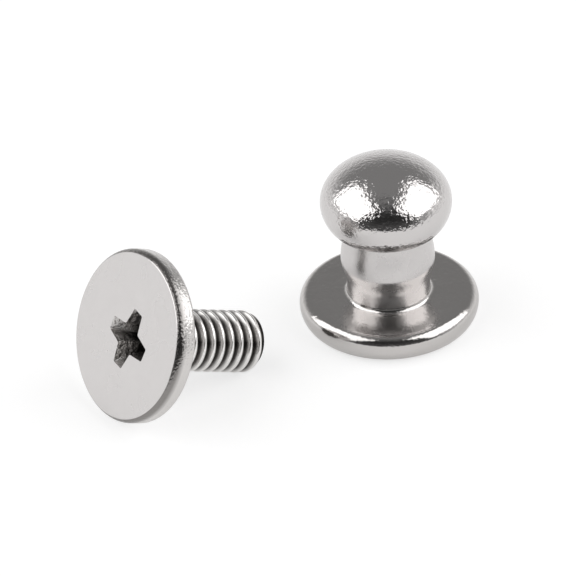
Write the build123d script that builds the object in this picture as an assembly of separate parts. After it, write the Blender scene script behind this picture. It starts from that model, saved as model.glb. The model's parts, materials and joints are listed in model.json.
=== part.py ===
"""Binding screw with a ball post: a flat-headed M4 screw and the ball post that it threads into.

The pieces lie unscrewed on one level surface. The post stands on its flange, and the screw leans on
the rim of its head and the tip of its shank. Millimetres. The origin is the centre of the underside
of the post's flange, +Z runs up the post's axis, and Z = 0 is the surface that both pieces rest on.
"""
from build123d import *

import os
from math import acos, asin, atan, ceil, cos, degrees, hypot, radians, sin, sqrt, tan

# ---------------------------------------------------------------- driving dimensions (mm and degrees)
# The thread that joins the two pieces: M4 coarse, right hand
thread_pitch = 0.70
thread_diameter = 3.80  # over the rolled crests, a little under the nominal 4
thread_depth = 0.36
thread_crest_width = 0.17
thread_flank_angle = 30.0  # each flank, from square to the axis
thread_start_angle = 185.0

# Ball post: flange
flange_diameter = 11.0
flange_flat_diameter = 9.82
flange_foot_diameter = 9.36
flange_thickness = 1.82
flange_belly_height = 1.12  # level of the widest circle

# Ball post: neck, from the flange up
neck_length = 4.92
neck_diameter = 5.06
neck_foot_fillet = 0.30
neck_straight_height = 1.05
collar_diameter = 5.76  # the soft swelling half way up
collar_height = 2.50
neck_top_diameter = 5.20

# Ball post: ball, flatter than a sphere
ball_diameter = 8.06
ball_crown_height = 2.69  # widest circle to the top
ball_belly_drop = 2.90  # semi-axis of the lower half, before the underside cuts it
ball_underside_diameter = 6.70
ball_underside_rounding = 0.12

# Ball post: blind hole at its tapping size, its mouth in the underside of the flange
bore_core_clearance = 0.11  # between the hole's wall and the root of the screw's thread
bore_depth_beyond_screw = 0.30  # full-width hole left past the tip of a screw driven home
bore_mouth_chamfer = 0.40
drill_point_angle = 118.0

# Screw: head
head_diameter = 10.50
head_face_diameter = 10.0
head_thickness = 1.30
head_front_round_depth = 0.45  # axial depth over which the rim swells from the face to its full width
head_back_rounding = 0.25
head_runout = 0.25  # the cold-formed disc sits this far off the axis of the shank
head_runout_angle = 159.0

# Screw: shank
shank_length = 8.0
shank_tip_rounding = 0.75
shoulder_diameter = 3.96  # plain stretch under the head, just under the nominal size
shoulder_length = 0.45
shoulder_fillet = 0.20

# Screw: cross recess
recess_width = 3.74  # across two opposite wings, at the face
recess_wing_width = 0.86  # at the blunt end of a wing
recess_corner_radius = 0.97  # from the axis to the corner between two wings
recess_corner_fillet = 0.25
recess_depth = 1.90
recess_floor_scale = 0.52  # section at the floor against the section at the face
recess_angle = -6.0

# Where the screw lies: the point of its axis in the plane of its face, and where its shank points
screw_x = -15.90
screw_y = -8.98
screw_heading = 31.7  # from +X towards +Y


# ---------------------------------------------------------------- ball post
def post_outline():
    """Half section of the post in the XZ plane, from the flange's underside to the top of the ball."""
    flange_radius = flange_diameter / 2
    flat_radius = flange_flat_diameter / 2
    foot_radius = flange_foot_diameter / 2
    neck_radius = neck_diameter / 2
    ball_radius = ball_diameter / 2
    cut_angle = degrees(acos(ball_underside_diameter / ball_diameter))

    underside_level = flange_thickness + neck_length
    equator_level = underside_level + ball_belly_drop * sin(radians(cut_angle))
    straight_top = (neck_radius, flange_thickness + neck_straight_height)
    collar = (collar_diameter / 2, flange_thickness + collar_height)
    neck_top = (neck_top_diameter / 2, underside_level)
    fillet_top = (neck_radius, flange_thickness + neck_foot_fillet)
    fillet_foot = (neck_radius + neck_foot_fillet, flange_thickness)
    equator = (ball_radius, equator_level)
    crown_shoulder = (ball_radius * sqrt(0.5), equator_level + ball_crown_height * sqrt(0.5))
    crown_top = (0, equator_level + ball_crown_height)

    edges = [
        Line((0, 0), (foot_radius, 0)),
        EllipticalCenterArc(
            (foot_radius, flange_belly_height),
            flange_radius - foot_radius,
            flange_belly_height,
            start_angle=270,
        ),
        EllipticalCenterArc(
            (flat_radius, flange_belly_height),
            flange_radius - flat_radius,
            flange_thickness - flange_belly_height,
        ),
        Line((flat_radius, flange_thickness), fillet_foot),
        TangentArc(fillet_foot, fillet_top, tangent=(-1, 0)),
        Line(fillet_top, straight_top),
        Spline(straight_top, collar, neck_top, tangents=[(0, 1), (0, 1)]),
        Line(neck_top, (ball_underside_diameter / 2, underside_level)),
        EllipticalCenterArc(
            (0, equator_level),
            ball_radius,
            ball_belly_drop,
            start_angle=-cut_angle,
            arc_size=cut_angle,
        ),
        Spline(equator, crown_shoulder, crown_top, tangents=[(0, 1), (-1, 0)]),
        Line(crown_top, (0, 0)),
    ]
    return Plane.XZ * make_face(edges)


def post_bore():
    """The drilled hole: mouth chamfer, straight wall and drill point."""
    radius = thread_diameter / 2 - thread_depth + bore_core_clearance
    depth = shank_length + bore_depth_beyond_screw
    point = radius / tan(radians(drill_point_angle / 2))
    outline = Polyline(
        (0, 0),
        (radius + bore_mouth_chamfer, 0),
        (radius, bore_mouth_chamfer),
        (radius, depth),
        (0, depth + point),
        close=True,
    )
    return revolve(Plane.XZ * make_face(outline), Axis.Z)


def ball_post():
    body = revolve(post_outline(), Axis.Z)
    underside_level = flange_thickness + neck_length
    circles = body.edges().filter_by(GeomType.CIRCLE)
    on_underside = [edge for edge in circles if abs(edge.center().Z - underside_level) < 1e-4]
    underside_edge = max(on_underside, key=lambda edge: edge.radius)
    body = fillet(underside_edge, ball_underside_rounding)
    return body - post_bore()


# ---------------------------------------------------------------- screw, in its own frame: +Z out of the face
def screw_head():
    """The flat disc, its face at Z = 0, set off the shank's axis by the runout."""
    radius = head_diameter / 2
    face_radius = head_face_diameter / 2
    edges = [
        Line((0, 0), (face_radius, 0)),
        TangentArc((radius, -head_front_round_depth), (face_radius, 0), tangent=(0, 1)),
        Line((radius, -head_front_round_depth), (radius, head_back_rounding - head_thickness)),
        TangentArc(
            (radius, head_back_rounding - head_thickness),
            (radius - head_back_rounding, -head_thickness),
            tangent=(0, -1),
        ),
        Line((radius - head_back_rounding, -head_thickness), (0, -head_thickness)),
        Line((0, -head_thickness), (0, 0)),
    ]
    disc = revolve(Plane.XZ * make_face(edges), Axis.Z)
    return Rot(0, 0, head_runout_angle) * Pos(head_runout, 0, 0) * disc


def threaded_rod(length):
    """Right-hand threaded rod, up from Z = 0, with this length of full thread between its end turns.

    The flanks, crest and root are strips ruled between helices, one turn each. A ramp round the axis
    and a wall across it close each end, so the first and the last turn are there to be cut off.
    """
    crest_radius = thread_diameter / 2
    root_radius = crest_radius - thread_depth
    flank_width = thread_depth * tan(radians(thread_flank_angle))
    crest_end = flank_width + thread_crest_width
    profile = [
        (root_radius, 0),
        (crest_radius, flank_width),
        (crest_radius, crest_end),
        (root_radius, crest_end + flank_width),
        (root_radius, thread_pitch),
    ]
    turns = ceil(length / thread_pitch) + 2

    def helix(radius, level):
        return Edge.make_helix(thread_pitch, thread_pitch, radius, center=(0, 0, level))

    faces = []
    for turn in range(turns):
        helices = [helix(radius, turn * thread_pitch + rise) for radius, rise in profile]
        faces += [Face.make_surface_from_curves(*pair) for pair in zip(helices, helices[1:])]
    for level in (0, turns * thread_pitch):
        foot, top = (0, 0, level), (0, 0, level + thread_pitch)
        faces.append(Face.make_surface_from_curves(Edge.make_line(foot, top), helix(root_radius, level)))
        wall = [foot] + [(radius, 0, level + rise) for radius, rise in profile] + [top]
        faces.append(Face(Wire.make_polygon(wall, close=True)))
    return Solid(Shell(faces))


def tip_envelope(tip_level):
    """Everything from the rounded tip to the middle of the head, clear of the crests above the rounding."""
    crest_radius = thread_diameter / 2
    clear_radius = thread_diameter
    top_level = -head_thickness / 2
    shoulder_level = tip_level + shank_tip_rounding
    end_radius = crest_radius - shank_tip_rounding
    edges = [
        Line((0, top_level), (clear_radius, top_level)),
        Line((clear_radius, top_level), (clear_radius, shoulder_level)),
        Line((clear_radius, shoulder_level), (crest_radius, shoulder_level)),
        TangentArc((crest_radius, shoulder_level), (end_radius, tip_level), tangent=(0, -1)),
        Line((end_radius, tip_level), (0, tip_level)),
        Line((0, tip_level), (0, top_level)),
    ]
    return revolve(Plane.XZ * make_face(edges), Axis.Z)


def threaded_shank():
    """The shank from its rounded tip to the middle of the head, where it is buried."""
    tip_level = -head_thickness - shank_length
    rod = threaded_rod(shank_length + head_thickness / 2)
    start_turn = Rot(0, 0, thread_start_angle)
    return start_turn * ((Pos(0, 0, tip_level - thread_pitch) * rod) & tip_envelope(tip_level))


def underhead_shoulder():
    """The plain stretch between head and thread, with the fillet that joins it to the head's back."""
    shoulder_radius = shoulder_diameter / 2
    fillet_radius = shoulder_radius + shoulder_fillet
    top_level = -head_thickness / 2
    end_level = -head_thickness - shoulder_length
    edges = [
        Line((0, top_level), (fillet_radius, top_level)),
        Line((fillet_radius, top_level), (fillet_radius, -head_thickness)),
        TangentArc(
            (fillet_radius, -head_thickness),
            (shoulder_radius, -head_thickness - shoulder_fillet),
            tangent=(-1, 0),
        ),
        Line((shoulder_radius, -head_thickness - shoulder_fillet), (shoulder_radius, end_level)),
        Line((shoulder_radius, end_level), (0, end_level)),
        Line((0, end_level), (0, top_level)),
    ]
    return revolve(Plane.XZ * make_face(edges), Axis.Z)


def recess_section(scale):
    """Cross with blunt, tapering wings and rounded corners between them."""
    half_width = recess_width / 2 * scale
    half_end = recess_wing_width / 2 * scale
    corner = recess_corner_radius * scale / sqrt(2)
    points = []
    for quarter in range(4):
        for x, y in ((half_width, -half_end), (half_width, half_end), (corner, corner)):
            points.append(Vector(x, y).rotate(Axis.Z, 90 * quarter))
    cross = make_face(Polyline(*points, close=True))
    inner = cross.vertices().sort_by(lambda v: hypot(v.X, v.Y))[:4]
    return fillet(inner, recess_corner_fillet * scale)


def cross_recess():
    floor = Pos(0, 0, -recess_depth) * recess_section(recess_floor_scale)
    return Rot(0, 0, recess_angle) * loft([recess_section(1.0), floor], ruled=True)


def flat_head_screw():
    return screw_head() + underhead_shoulder() + threaded_shank() - cross_recess()


def screw_rest_place():
    """Plane of the screw's face when the back of the rim and the rounded tip touch Z = 0.

    Both touch with a rounding, so the tilt is that of the line that runs under two circles.
    """
    low_side = radians(head_runout_angle)
    rim_drop = head_diameter / 2 - head_runout * sin(low_side) - head_back_rounding
    rim_along = head_thickness - head_back_rounding
    tip_drop = thread_diameter / 2 - shank_tip_rounding
    tip_along = head_thickness + shank_length - shank_tip_rounding
    apart = hypot(tip_along - rim_along, rim_drop - tip_drop)
    tilt = atan((rim_drop - tip_drop) / (tip_along - rim_along))
    tilt += asin((head_back_rounding - shank_tip_rounding) / apart)
    face_height = rim_along * sin(tilt) + rim_drop * cos(tilt) + head_back_rounding

    heading = radians(screw_heading)
    shank_direction = Vector(cos(tilt) * cos(heading), cos(tilt) * sin(heading), -sin(tilt))
    return Plane(
        origin=(screw_x, screw_y, face_height),
        x_dir=(sin(heading), -cos(heading), 0),
        z_dir=-shank_direction,
    )


# ---------------------------------------------------------------- export, one STEP per piece
os.makedirs("parts", exist_ok=True)
export_step(ball_post(), "parts/ball_post.step")
export_step(screw_rest_place().location * flat_head_screw(), "parts/flat_head_screw.step")
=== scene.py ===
"""Looks of the binding screw and its ball post: two nickel-plated pieces, unscrewed, on a white table."""

import json
from math import acos, asin, cos, degrees, hypot, pi, radians, sin, sqrt, tan

import bpy
from mathutils import Matrix, Vector


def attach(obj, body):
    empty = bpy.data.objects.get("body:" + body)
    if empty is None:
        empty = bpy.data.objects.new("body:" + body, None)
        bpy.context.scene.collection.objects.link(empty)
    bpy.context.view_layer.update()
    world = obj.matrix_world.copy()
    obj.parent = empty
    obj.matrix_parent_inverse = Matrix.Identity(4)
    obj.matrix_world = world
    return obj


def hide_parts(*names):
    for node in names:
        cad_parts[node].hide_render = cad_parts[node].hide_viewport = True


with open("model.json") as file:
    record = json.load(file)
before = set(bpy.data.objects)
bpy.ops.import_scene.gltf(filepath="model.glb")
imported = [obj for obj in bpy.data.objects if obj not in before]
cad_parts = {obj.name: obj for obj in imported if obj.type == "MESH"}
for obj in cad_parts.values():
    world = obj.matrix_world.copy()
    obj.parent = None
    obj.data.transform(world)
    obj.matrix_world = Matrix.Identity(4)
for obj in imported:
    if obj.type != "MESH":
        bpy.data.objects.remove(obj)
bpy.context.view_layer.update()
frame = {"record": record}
MM = 0.001  # Blender works in metres; every size below is in millimetres

# ---------------------------------------------------------------- sizes, as in the solids
thread_pitch = 0.70
thread_diameter = 3.80
thread_depth = 0.36
thread_crest_width = 0.17
thread_flank_angle = 30.0
thread_crest_rounding = 0.05
thread_root_rounding = 0.05

flange_diameter = 11.0
flange_flat_diameter = 9.82
flange_foot_diameter = 9.36
flange_thickness = 1.82
flange_belly_height = 1.12

neck_length = 4.92
neck_diameter = 5.06
neck_foot_fillet = 0.30
neck_straight_height = 1.05
collar_diameter = 5.76
collar_height = 2.50
neck_top_diameter = 5.20

ball_diameter = 8.06
ball_crown_height = 2.69
ball_belly_drop = 2.90
ball_underside_diameter = 6.70
ball_underside_rounding = 0.12

bore_core_clearance = 0.11
bore_depth_beyond_screw = 0.30
bore_mouth_chamfer = 0.40
drill_point_angle = 118.0
tapped_diameter = 4.04  # over the grooves of the post's own thread
tapped_groove_width = 0.10
tap_overreach = 1.0  # past the mouth of the hole

head_diameter = 10.50
head_face_diameter = 10.0
head_face_edge = 0.05  # a ring this far inside the edge keeps the face's shading flat
head_thickness = 1.30
head_front_round_depth = 0.45
head_back_rounding = 0.25
head_runout = 0.25
head_runout_angle = 159.0

shank_length = 8.0
shank_tip_rounding = 0.75
shoulder_diameter = 3.96
shoulder_length = 0.45
shoulder_fillet = 0.20

recess_width = 3.74
recess_wing_width = 0.86
recess_corner_radius = 0.97
recess_edge_rounding = 0.09
recess_punch_overreach = 0.2  # of the punch, above the face
recess_depth = 1.90
recess_floor_scale = 0.52
recess_angle = -6.0

# worked out from these
bore_radius = thread_diameter / 2 - thread_depth + bore_core_clearance
bore_depth = shank_length + bore_depth_beyond_screw

# ---------------------------------------------------------------- how finely the pieces are drawn
lathe_steps = 256
thread_steps = 144  # round one turn of a thread
rounding_steps = 4  # along a rounded corner of a thread's section
merge_distance = 1e-4
shortest_edge = 1e-3
smoothing_angle = 32.0

# margins of the tests that tell the faces of one finish from those of the next
level_margin = 0.01
rim_margin = 0.02
hole_margin = 0.1
skin_depth = 0.012  # what lies less deep than this is the flat face of the head


# ---------------------------------------------------------------- drawing and turning
def draw_line(name, points):
    """A chain of edges through the points, extruded from one vertex; left in edit mode, selected."""
    bpy.ops.object.select_all(action="DESELECT")
    bpy.ops.mesh.primitive_plane_add(size=1, location=(0, 0, 0))
    piece = bpy.context.object
    piece.name = piece.data.name = name
    bpy.ops.object.mode_set(mode="EDIT")
    bpy.ops.mesh.select_all(action="SELECT")
    bpy.ops.mesh.merge(type="CENTER")
    bpy.ops.transform.translate(value=points[0])
    for start, end in zip(points, points[1:]):
        bpy.ops.mesh.extrude_region_move(TRANSFORM_OT_translate={"value": end - start})
    return piece


def close_up():
    """Merges doubles, points the faces outwards and leaves edit mode."""
    bpy.ops.mesh.select_all(action="SELECT")
    bpy.ops.mesh.remove_doubles(threshold=merge_distance)
    bpy.ops.mesh.normals_make_consistent(inside=False)
    bpy.ops.object.mode_set(mode="OBJECT")


def turn_on_lathe(name, outline):
    """A turned piece from its half outline, (radius, height) points that start and end on the axis."""
    piece = draw_line(name, [Vector((radius, 0, height)) for radius, height in outline])
    bpy.ops.mesh.select_all(action="SELECT")
    bpy.ops.mesh.spin(steps=lathe_steps, angle=2 * pi, center=(0, 0, 0), axis=(0, 0, 1))
    close_up()
    return piece


def elliptical_arc(centre, half_width, half_height, first_angle, last_angle, steps):
    """Points of an elliptical arc, as (radius, height), by angles in degrees."""
    points = []
    for i in range(steps + 1):
        angle = radians(first_angle + (last_angle - first_angle) * i / steps)
        points.append((centre[0] + half_width * cos(angle), centre[1] + half_height * sin(angle)))
    return points


def soft_curve(start, middle, end, steps):
    """Points of a cubic from start through middle to end, as (radius, height), upright at both ends."""
    points = []
    middle_slope = (end[0] - start[0]) / (end[1] - start[1])
    lower = ((*start, 0), (*middle, middle_slope))
    upper = ((*middle, middle_slope), (*end, 0))
    for (r0, z0, slope0), (r1, z1, slope1) in (lower, upper):
        span = z1 - z0
        for i in range(steps + 1):
            t = i / steps
            radius = (
                (2 * t**3 - 3 * t**2 + 1) * r0
                + (t**3 - 2 * t**2 + t) * span * slope0
                + (3 * t**2 - 2 * t**3) * r1
                + (t**3 - t**2) * span * slope1
            )
            points.append((radius, z0 + span * t))
    return points


def finish_with(piece, modifier_type, **settings):
    """Adds a modifier with its settings and applies it."""
    bpy.ops.object.select_all(action="DESELECT")
    piece.select_set(True)
    bpy.context.view_layer.objects.active = piece
    modifier = piece.modifiers.new(modifier_type.title(), modifier_type)
    for key, value in settings.items():
        setattr(modifier, key, value)
    bpy.ops.object.modifier_apply(modifier=modifier.name)


def cut_with(piece, tool, operation="DIFFERENCE"):
    """Cuts the piece with the tool, which is used up."""
    finish_with(piece, "BOOLEAN", object=tool, operation=operation, solver="EXACT")
    bpy.data.objects.remove(tool)


def put_in_place(piece, place):
    """Brings a piece drawn in millimetres to its place in the frame, in metres, and smooths it."""
    bpy.ops.object.select_all(action="DESELECT")
    piece.select_set(True)
    bpy.context.view_layer.objects.active = piece
    piece.matrix_world = Matrix.Scale(MM, 4) @ place
    bpy.ops.object.transform_apply(location=True, rotation=True, scale=True)
    bpy.ops.object.shade_smooth_by_angle(angle=radians(smoothing_angle))


def paint_faces(piece, slot_number, chosen):
    """Gives a material slot to the faces whose centre, in the piece's drawing, passes the test."""
    for face in piece.data.polygons:
        if chosen(face.center):
            face.material_index = slot_number


# ---------------------------------------------------------------- thread
def thread_ridge(crest_radius, depth, crest_width, flank_angle):
    """Half section of one turn of thread, root to root, with rounded crest and root."""
    root_radius = crest_radius - depth
    flank = depth * tan(radians(flank_angle))
    half_crest = crest_width / 2
    half_turn = thread_pitch / 2
    corners = [
        (root_radius, -half_turn),
        (root_radius, -half_crest - flank),
        (crest_radius, -half_crest),
        (crest_radius, half_crest),
        (root_radius, half_crest + flank),
        (root_radius, half_turn),
    ]
    roundings = [thread_root_rounding, thread_crest_rounding, thread_crest_rounding, thread_root_rounding]
    points = [Vector(corners[0])]
    for before, corner, after, rounding in zip(corners, corners[1:], corners[2:], roundings):
        corner = Vector(corner)
        back = (Vector(before) - corner).normalized()
        ahead = (Vector(after) - corner).normalized()
        for i in range(rounding_steps + 1):
            t = i / rounding_steps
            points.append(
                (1 - t) ** 2 * (corner + back * rounding)
                + 2 * t * (1 - t) * corner
                + t**2 * (corner + ahead * rounding)
            )
    points.append(Vector(corners[-1]))
    return points


def threaded_rod(name, crest_radius, depth, crest_width, flank_angle, length):
    """A rod with a right-hand thread from Z = 0 down to -length; its crest passes +X at half a pitch."""
    turns = int(length / thread_pitch) + 4  # some to spare at both ends, which are then cut off
    ridge = thread_ridge(crest_radius, depth, crest_width, flank_angle)
    start = -(turns - 1.5) * thread_pitch
    rod = draw_line(name, [Vector((p.x, 0, p.y + start)) for p in ridge])
    bpy.ops.object.mode_set(mode="OBJECT")
    finish_with(
        rod,
        "SCREW",
        axis="Z",
        angle=2 * pi,
        screw_offset=thread_pitch,
        iterations=turns,
        steps=thread_steps,
        render_steps=thread_steps,
        use_merge_vertices=True,
        merge_threshold=merge_distance,
    )
    bpy.ops.object.mode_set(mode="EDIT")
    bpy.ops.mesh.select_all(action="SELECT")
    bpy.ops.mesh.remove_doubles(threshold=merge_distance)
    for level, outwards in ((0, 1), (-length, -1)):
        bpy.ops.mesh.select_all(action="SELECT")
        bpy.ops.mesh.bisect(
            plane_co=(0, 0, level), plane_no=(0, 0, outwards), use_fill=True, clear_outer=True
        )
    close_up()
    return rod


# ---------------------------------------------------------------- ball post
def post_outline():
    """From the drill point down the hole, out along the underside, then up flange, neck and ball."""
    flange_radius = flange_diameter / 2
    flat_radius = flange_flat_diameter / 2
    foot_radius = flange_foot_diameter / 2
    neck_radius = neck_diameter / 2
    neck_foot_radius = neck_radius + neck_foot_fillet
    ball_radius = ball_diameter / 2
    underside_radius = ball_underside_diameter / 2
    cut_angle = degrees(acos(ball_underside_diameter / ball_diameter))
    underside_level = flange_thickness + neck_length
    equator_level = underside_level + ball_belly_drop * sin(radians(cut_angle))
    lip = ball_underside_rounding
    lip_angle = 3  # degrees of the belly that the rounding of its lower edge takes up

    outline = [
        (0, bore_depth + bore_radius / tan(radians(drill_point_angle / 2))),
        (bore_radius, bore_depth),
        (bore_radius, bore_mouth_chamfer),
        (bore_radius + bore_mouth_chamfer, 0),
    ]
    # the flange's edge, below its widest circle and above it
    outline += elliptical_arc(
        (foot_radius, flange_belly_height),
        flange_radius - foot_radius,
        flange_belly_height,
        270,
        360,
        steps=24,
    )
    outline += elliptical_arc(
        (flat_radius, flange_belly_height),
        flange_radius - flat_radius,
        flange_thickness - flange_belly_height,
        0,
        90,
        steps=20,
    )
    # rings across the flat top, which keep its faces short
    for share in (0.25, 0.5, 0.75):
        outline.append((flat_radius * (1 - share) + neck_foot_radius * share, flange_thickness))
    # the neck, from its foot over the collar to the ball
    outline += elliptical_arc(
        (neck_foot_radius, flange_thickness + neck_foot_fillet),
        neck_foot_fillet,
        neck_foot_fillet,
        270,
        180,
        steps=8,
    )
    outline += soft_curve(
        (neck_radius, flange_thickness + neck_straight_height),
        (collar_diameter / 2, flange_thickness + collar_height),
        (neck_top_diameter / 2, underside_level),
        steps=14,
    )
    # the ball: its rounded lower edge, belly and crown
    outline += elliptical_arc((underside_radius - lip, underside_level + lip), lip, lip, 270, 330, steps=4)
    outline += elliptical_arc(
        (0, equator_level), ball_radius, ball_belly_drop, lip_angle - cut_angle, 0, steps=16
    )
    outline += elliptical_arc((0, equator_level), ball_radius, ball_crown_height, 0, 90, steps=48)
    spaced = [outline[0]]
    for radius, height in outline[1:]:
        if hypot(radius - spaced[-1][0], height - spaced[-1][1]) > shortest_edge:
            spaced.append((max(radius, 0), height))
    return spaced


def ball_post():
    """The post, turned with its hole and then tapped."""
    post = turn_on_lathe("ball_post_turned", post_outline())
    tap = threaded_rod(
        "tap",
        tapped_diameter / 2,
        tapped_diameter / 2 - bore_radius,
        tapped_groove_width,
        thread_flank_angle,
        bore_depth + tap_overreach,
    )
    tap.matrix_world = Matrix.Translation((0, 0, bore_depth))
    cut_with(post, tap)
    for material in post_finishes():
        post.data.materials.append(material)
    neck_from = flange_thickness + neck_foot_fillet
    neck_to = flange_thickness + neck_length - level_margin
    outside_hole = tapped_diameter / 2 + hole_margin
    paint_faces(post, 1, lambda c: neck_from < c.z < neck_to and hypot(c.x, c.y) > outside_hole)
    paint_faces(post, 2, lambda c: c.z < neck_from)
    put_in_place(post, Matrix.Identity(4))
    return post


# ---------------------------------------------------------------- screw
# drawn as in the solids, with +Z out of its face
def head_outline():
    """The disc head: its flat face, the soft edge in front and the rounded one behind."""
    radius = head_diameter / 2
    face_radius = head_face_diameter / 2
    back = head_back_rounding
    # arc that leaves the widest circle upright and meets the edge of the face
    inset = radius - face_radius
    arc_radius = (inset**2 + head_front_round_depth**2) / (2 * inset)
    sweep = degrees(asin(head_front_round_depth / arc_radius))
    outline = [(0, 0), (face_radius / 2, 0), (face_radius - head_face_edge, 0)]
    outline += elliptical_arc(
        (radius - arc_radius, -head_front_round_depth), arc_radius, arc_radius, sweep, 0, steps=14
    )
    outline += elliptical_arc((radius - back, back - head_thickness), back, back, 0, -90, steps=8)
    outline += [(face_radius / 2, -head_thickness), (0, -head_thickness)]
    return outline


def shoulder_outline():
    """The plain stretch under the head and the fillet that joins it to the head's back."""
    radius = shoulder_diameter / 2
    fillet = shoulder_fillet
    outline = [(0, -head_thickness / 2), (radius + fillet, -head_thickness / 2)]
    outline += elliptical_arc((radius + fillet, -head_thickness - fillet), fillet, fillet, 90, 180, steps=8)
    end_level = -head_thickness - shoulder_length
    outline += [(radius, end_level), (0, end_level)]
    return outline


def recess_tool():
    """The cross-shaped punch, from a little above the face to the floor of the recess."""
    half_width = recess_width / 2
    half_end = recess_wing_width / 2
    corner = recess_corner_radius / sqrt(2)
    points = []
    for quarter in range(4):
        turn = Matrix.Rotation(radians(90 * quarter), 3, "Z")
        for x, y in ((half_width, -half_end), (half_width, half_end), (corner, corner)):
            points.append(turn @ Vector((x, y, 0)))
    tool = draw_line("punch", points)
    bpy.ops.mesh.select_all(action="SELECT")
    bpy.ops.mesh.edge_face_add()
    shrink = recess_floor_scale
    bpy.ops.mesh.extrude_region_move(TRANSFORM_OT_translate={"value": (0, 0, -recess_depth)})
    bpy.ops.transform.resize(value=(shrink, shrink, 1), center_override=(0, 0, -recess_depth))
    close_up()
    # the punch reaches past the face on the same slope
    slope = (1 - shrink) / recess_depth
    growth = 1 + slope * recess_punch_overreach
    for vertex in tool.data.vertices:
        if vertex.co.z > -recess_depth / 2:
            vertex.co = Vector((vertex.co.x * growth, vertex.co.y * growth, recess_punch_overreach))
    finish_with(
        tool,
        "BEVEL",
        width=recess_edge_rounding,
        segments=4,
        limit_method="ANGLE",
        angle_limit=radians(30),
    )
    tool.matrix_world = Matrix.Rotation(radians(recess_angle), 4, "Z")
    return tool


def screw_place():
    """The screw's own axes in the frame, from the mount on its thread, which is at the shank's end."""
    mount = next(m for m in frame["record"]["mounts"] if m["name"] == "screw_thread")
    shank = Vector(mount["axis"]).normalized()
    tip = Vector(mount["pos_m"]) / MM
    origin = tip - shank * (head_thickness + shank_length)
    out = -shank
    side = shank.cross(Vector((0, 0, 1))).normalized()
    up = out.cross(side)
    place = Matrix((side, up, out)).transposed().to_4x4()
    place.translation = origin
    return place


def flat_head_screw():
    """The screw: its head a little off the shank's axis, then shank, shoulder and recess."""
    screw = turn_on_lathe("screw_turned", head_outline())
    runout = Matrix.Translation((head_runout, 0, 0))
    screw.matrix_world = Matrix.Rotation(radians(head_runout_angle), 4, "Z") @ runout
    bpy.ops.object.transform_apply(location=True, rotation=True, scale=True)

    crest = thread_diameter / 2
    tip = shank_tip_rounding
    shank_reach = shank_length + head_thickness / 2  # from the middle of the head
    shank = threaded_rod("shank", crest, thread_depth, thread_crest_width, thread_flank_angle, shank_reach)
    shank.matrix_world = Matrix.Translation((0, 0, -head_thickness / 2))
    # a cylinder well clear of the thread, with the rounded tip at its end
    envelope = [(0, 1), (2 * crest, 1), (2 * crest, tip - shank_length - head_thickness)]
    envelope += elliptical_arc(
        (crest - tip, tip - shank_length - head_thickness), tip, tip, 0, -90, steps=16
    )
    envelope += [(0, -shank_length - head_thickness)]
    cut_with(shank, turn_on_lathe("tip_form", envelope), "INTERSECT")
    cut_with(shank, turn_on_lathe("shoulder", shoulder_outline()), "UNION")
    cut_with(screw, shank, "UNION")
    cut_with(screw, recess_tool())

    for material in screw_finishes():
        screw.data.materials.append(material)
    recess_reach = recess_width / 2 + rim_margin
    recess_floor = -recess_depth - level_margin
    rim_from = head_face_diameter / 2 - head_runout - rim_margin
    rim_end = -head_thickness + level_margin
    paint_faces(screw, 1, lambda c: hypot(c.x, c.y) < recess_reach and recess_floor < c.z < -skin_depth)
    paint_faces(screw, 2, lambda c: c.z < -head_thickness - level_margin)
    paint_faces(screw, 3, lambda c: hypot(c.x, c.y) > rim_from and rim_end < c.z < -skin_depth)
    put_in_place(screw, screw_place())
    return screw


# ---------------------------------------------------------------- materials
def linear(hex_colour):
    """An sRGB hex colour as linear RGBA."""
    values = [int(hex_colour[i : i + 2], 16) / 255 for i in (1, 3, 5)]
    return (*(v / 12.92 if v <= 0.04045 else ((v + 0.055) / 1.055) ** 2.4 for v in values), 1)


def add_node(owner, node_type, settings=None, inputs=None):
    """One node of a material or of the world; its inputs are values, or sockets to link from."""
    tree = owner.node_tree
    node = tree.nodes.new(node_type)
    for key, value in (settings or {}).items():
        setattr(node, key, value)
    for key, value in (inputs or {}).items():
        if isinstance(value, bpy.types.NodeSocket):
            tree.links.new(value, node.inputs[key])
        else:
            node.inputs[key].default_value = value
    return node


def map_range(owner, value, low, high, at_low, at_high):
    """Runs from at_low to at_high as the value goes from low to high, and holds beyond them."""
    inputs = {"Value": value, "From Min": low, "From Max": high, "To Min": at_low, "To Max": at_high}
    return add_node(owner, "ShaderNodeMapRange", inputs=inputs).outputs["Result"]


def noise(material, place, size, detail, roughness=0.5):
    """Noise with lumps of this size in millimetres."""
    inputs = {"Vector": place, "Scale": 1 / (size * MM), "Detail": detail, "Roughness": roughness}
    return add_node(material, "ShaderNodeTexNoise", inputs=inputs).outputs["Fac"]


def relief_of(material, height, depth, under=None):
    """Relief of this depth in millimetres, on top of the relief under it."""
    inputs = {"Height": height, "Distance": depth * MM, "Strength": 1.0}
    if under is not None:
        inputs["Normal"] = under
    return add_node(material, "ShaderNodeBump", inputs=inputs).outputs["Normal"]


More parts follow.
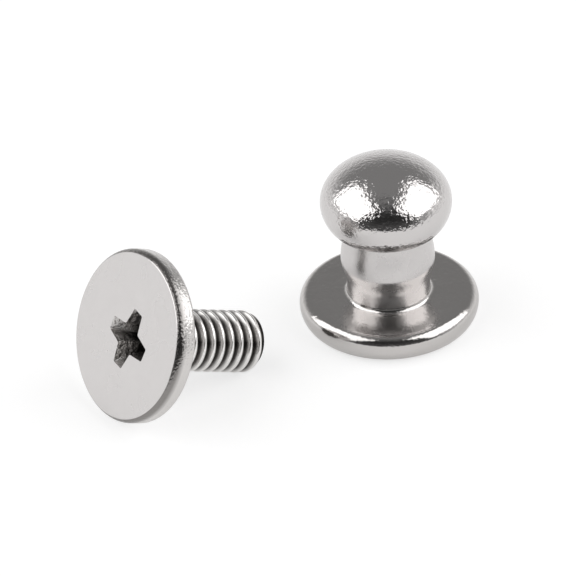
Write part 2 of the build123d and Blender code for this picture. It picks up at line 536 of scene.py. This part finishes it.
def nickel_plate(name, colour, roughness, grain, relief, peel=None):
    """Nickel plate: a neutral mirror, broken up by grain of this size and relief in millimetres.

    Faint stains make its gloss uneven. The peel, a size and a depth, is a slower swell under the grain.
    """
    stain_size = 1.6
    material = bpy.data.materials.new(name)
    material.use_nodes = True
    shader = material.node_tree.nodes["Principled BSDF"]
    shader.inputs["Base Color"].default_value = linear(colour)
    shader.inputs["Metallic"].default_value = 1.0
    place = add_node(material, "ShaderNodeTexCoord").outputs["Object"]
    fine = noise(material, place, grain, detail=2.0, roughness=0.45)
    stain = noise(material, place, stain_size, detail=3.0)
    gloss = map_range(material, stain, 0.3, 0.7, roughness * 0.8, roughness * 1.25)
    material.node_tree.links.new(gloss, shader.inputs["Roughness"])
    normal = relief_of(material, fine, relief)
    if peel:
        size, depth = peel
        swell = noise(material, place, size, detail=2.0)
        normal = relief_of(material, swell, depth, under=normal)
    material.node_tree.links.new(normal, shader.inputs["Normal"])
    return material


def paint_light_and_shade_by(material, height, low, high, low_colour, high_colour):
    """Paints light and shade into the base colour, from low_colour to high_colour as height, a socket in
    metres, goes from low to high.
    """
    share = map_range(material, height, low * MM, high * MM, 0.0, 1.0)
    # sockets of a colour mix: 0 the share, 6 and 7 the colours, 2 the result
    colours = {0: share, 6: linear(low_colour), 7: linear(high_colour)}
    tint = add_node(material, "ShaderNodeMix", {"data_type": "RGBA"}, colours)
    shader = material.node_tree.nodes["Principled BSDF"]
    material.node_tree.links.new(tint.outputs[2], shader.inputs["Base Color"])


def post_finishes():
    """Ball, neck and flange: the same plate, tumbled, turned, and barrelled."""
    # a near mirror that ripples: sharp bright patches with ragged edges round a dark column
    ball = nickel_plate("tumbled_nickel_plate", "#CFCCCB", 0.10, 0.21, 0.034, peel=(0.60, 0.020))
    # satin from the cutting tool: soft upright bands, and nothing mirrored sharply
    neck = nickel_plate("turned_nickel_plate", "#CFCCCB", 0.28, 0.16, 0.005)
    # slightly greyer, with slow swells that bend the long highlight along the edge
    flange = nickel_plate("barrelled_nickel_plate", "#C6C3C1", 0.14, 0.24, 0.014, peel=(0.70, 0.012))
    return ball, neck, flange


def screw_finishes():
    """Head, recess, thread and rim: the same plate, struck flat, torn by the punch, rolled, and pitted,
    with light and shade painted into the colour of recess, thread and rim.
    """
    # pale and even: a flat face that shows only faint clouds
    head = nickel_plate("headed_nickel_plate", "#D6D3D2", 0.24, 0.10, 0.0006)
    # rough, with painted shade that darkens it towards the floor, so that the cross reads as deep
    recess = nickel_plate("punched_plate_painted_shade", "#8A8786", 0.24, 0.25, 0.07)
    # painted highlights along the crests over painted shade in the roots, smooth along the turn
    thread = nickel_plate("rolled_plate_painted_light", "#C9C7C5", 0.22, 0.14, 0.004)
    # coarse pits that break its reflections, and a painted dark reflection just behind the face's edge that
    # turns light towards the back
    rim = nickel_plate("pitted_plate_painted_reflection", "#93908E", 0.22, 0.17, 0.040)
    crest = thread_diameter / 2
    # the screw's own axes, to tell crest from root and mouth from floor
    inward = screw_place().inverted()
    for material, measure, low, high, low_colour, high_colour in (
        # the rim: painted reflection, dark just behind the face's edge and light further back
        (rim, "height", -0.62, -0.26, "#D2CFCD", "#8A8785"),
        # the recess: painted shade, darkening from the mouth down to the floor
        (recess, "height", -1.5, -0.02, "#3A3836", "#D0CDCB"),
        # the thread: painted shade in the roots and flanks, and a painted highlight along the crests
        (thread, "radius", crest - 0.20, crest - 0.02, "#5A5856", "#F0EEEC"),
    ):
        place = add_node(material, "ShaderNodeTexCoord").outputs["Object"]
        own = add_node(material, "ShaderNodeMapping", {"vector_type": "POINT"}, {"Vector": place})
        own.inputs["Location"].default_value = inward.translation * MM
        own.inputs["Rotation"].default_value = inward.to_euler()
        axes = add_node(material, "ShaderNodeSeparateXYZ", inputs={0: own.outputs[0]}).outputs
        distance = axes["Z"]
        if measure == "radius":
            across = add_node(material, "ShaderNodeCombineXYZ", inputs={"X": axes["X"], "Y": axes["Y"]})
            length = {"operation": "LENGTH"}
            radius = add_node(material, "ShaderNodeVectorMath", length, {0: across.outputs[0]})
            distance = radius.outputs["Value"]
        paint_light_and_shade_by(material, distance, low, high, low_colour, high_colour)
    return head, recess, thread, rim


# ---------------------------------------------------------------- the object
post = ball_post()
screw = flat_head_screw()
for piece, slot, node in ((post, "post_plating", "ball_post"), (screw, "screw_plating", "flat_head_screw")):
    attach(piece, "root")
    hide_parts(node)

# ---------------------------------------------------------------- table
table_depth = 6000
table_front = -75  # the sheet ends here, so bright metal mirrors the dark side of the room past it
table_middle = table_front + table_depth / 2
bpy.ops.object.select_all(action="DESELECT")
bpy.ops.mesh.primitive_plane_add(size=table_depth * MM, location=(0, table_middle * MM, 0))
table = bpy.context.object
table.name = "table"

# white paper that glows, more to the eye than in the metal, so the contact shadows stay faint
paper = bpy.data.materials.new("white_paper")
paper.use_nodes = True
paper.node_tree.nodes.clear()
matt = add_node(paper, "ShaderNodeBsdfDiffuse", inputs={"Color": linear("#FFFFFF")})
glow = add_node(paper, "ShaderNodeEmission", inputs={"Color": (1, 1, 1, 1), "Strength": 1.14})
ray = add_node(paper, "ShaderNodeLightPath")
glow_share = map_range(paper, ray.outputs["Is Camera Ray"], 0.0, 1.0, 0.3, 0.6)
blend = add_node(
    paper, "ShaderNodeMixShader", inputs={0: glow_share, 1: matt.outputs[0], 2: glow.outputs[0]}
)
add_node(paper, "ShaderNodeOutputMaterial", inputs={"Surface": blend.outputs[0]})
table.data.materials.append(paper)

# ---------------------------------------------------------------- light
table_level_light = 0.95
overhead_light = 0.27
front_light = 0.10  # as a share of the light from the sides and the back

world = bpy.data.worlds.new("studio")
bpy.context.scene.world = world
world.use_nodes = True
background = world.node_tree.nodes["Background"]
background.inputs["Color"].default_value = (1, 1, 1, 1)
# the room: a pale sweep at table level that darkens upwards, and a dark side in front
toward = add_node(world, "ShaderNodeTexCoord").outputs["Generated"]
sides = add_node(world, "ShaderNodeSeparateXYZ", inputs={0: toward}).outputs
sweep = map_range(world, sides["Z"], 0.03, 0.50, table_level_light, overhead_light)
front = map_range(world, sides["Y"], -0.75, 0.0, front_light, 1.0)
room = add_node(world, "ShaderNodeMath", {"operation": "MULTIPLY"}, {0: sweep, 1: front})
# the camera itself sees plain white
seen = add_node(world, "ShaderNodeLightPath").outputs["Is Camera Ray"]
strength = add_node(world, "ShaderNodeMath", {"operation": "MAXIMUM"}, {0: room.outputs[0], 1: seen})
world.node_tree.links.new(strength.outputs[0], background.inputs["Strength"])

lamp_distance = 430  # to each side
lamp_front = -70
lamp_height = 400
lamp_size = (760, 560)
lamp_power = 2.4
between_the_pieces = (-4, -3, 4)


def softbox(name, side):
    """A rectangular lamp to one side, -1 or 1, facing the pieces."""
    place = Vector((side * lamp_distance, lamp_front, lamp_height))
    bpy.ops.object.light_add(type="AREA", location=place * MM)
    lamp = bpy.context.object
    lamp.name = name
    lamp.data.shape = "RECTANGLE"
    lamp.data.size = lamp_size[0] * MM
    lamp.data.size_y = lamp_size[1] * MM
    lamp.data.energy = lamp_power
    lamp.rotation_euler = (Vector(between_the_pieces) - place).to_track_quat("-Z", "Y").to_euler()


softbox("left_softbox", -1)
softbox("right_softbox", 1)

# ---------------------------------------------------------------- camera
camera_place = (-6.17, -363.7, 247.6)
camera_tilt = 34.0  # degrees below the level
camera_roll = -2.5

camera_data = bpy.data.cameras.new("camera")
camera_data.lens = 448.0
camera_data.sensor_width = 36.0
camera_data.clip_start = 0.01
camera = bpy.data.objects.new("camera", camera_data)
bpy.context.scene.collection.objects.link(camera)
camera.matrix_world = (
    Matrix.Translation(Vector(camera_place) * MM)
    @ Matrix.Rotation(radians(90 - camera_tilt), 4, "X")
    @ Matrix.Rotation(radians(camera_roll), 4, "Z")
)
bpy.context.scene.camera = camera
bpy.context.scene.view_settings.view_transform = "Standard"
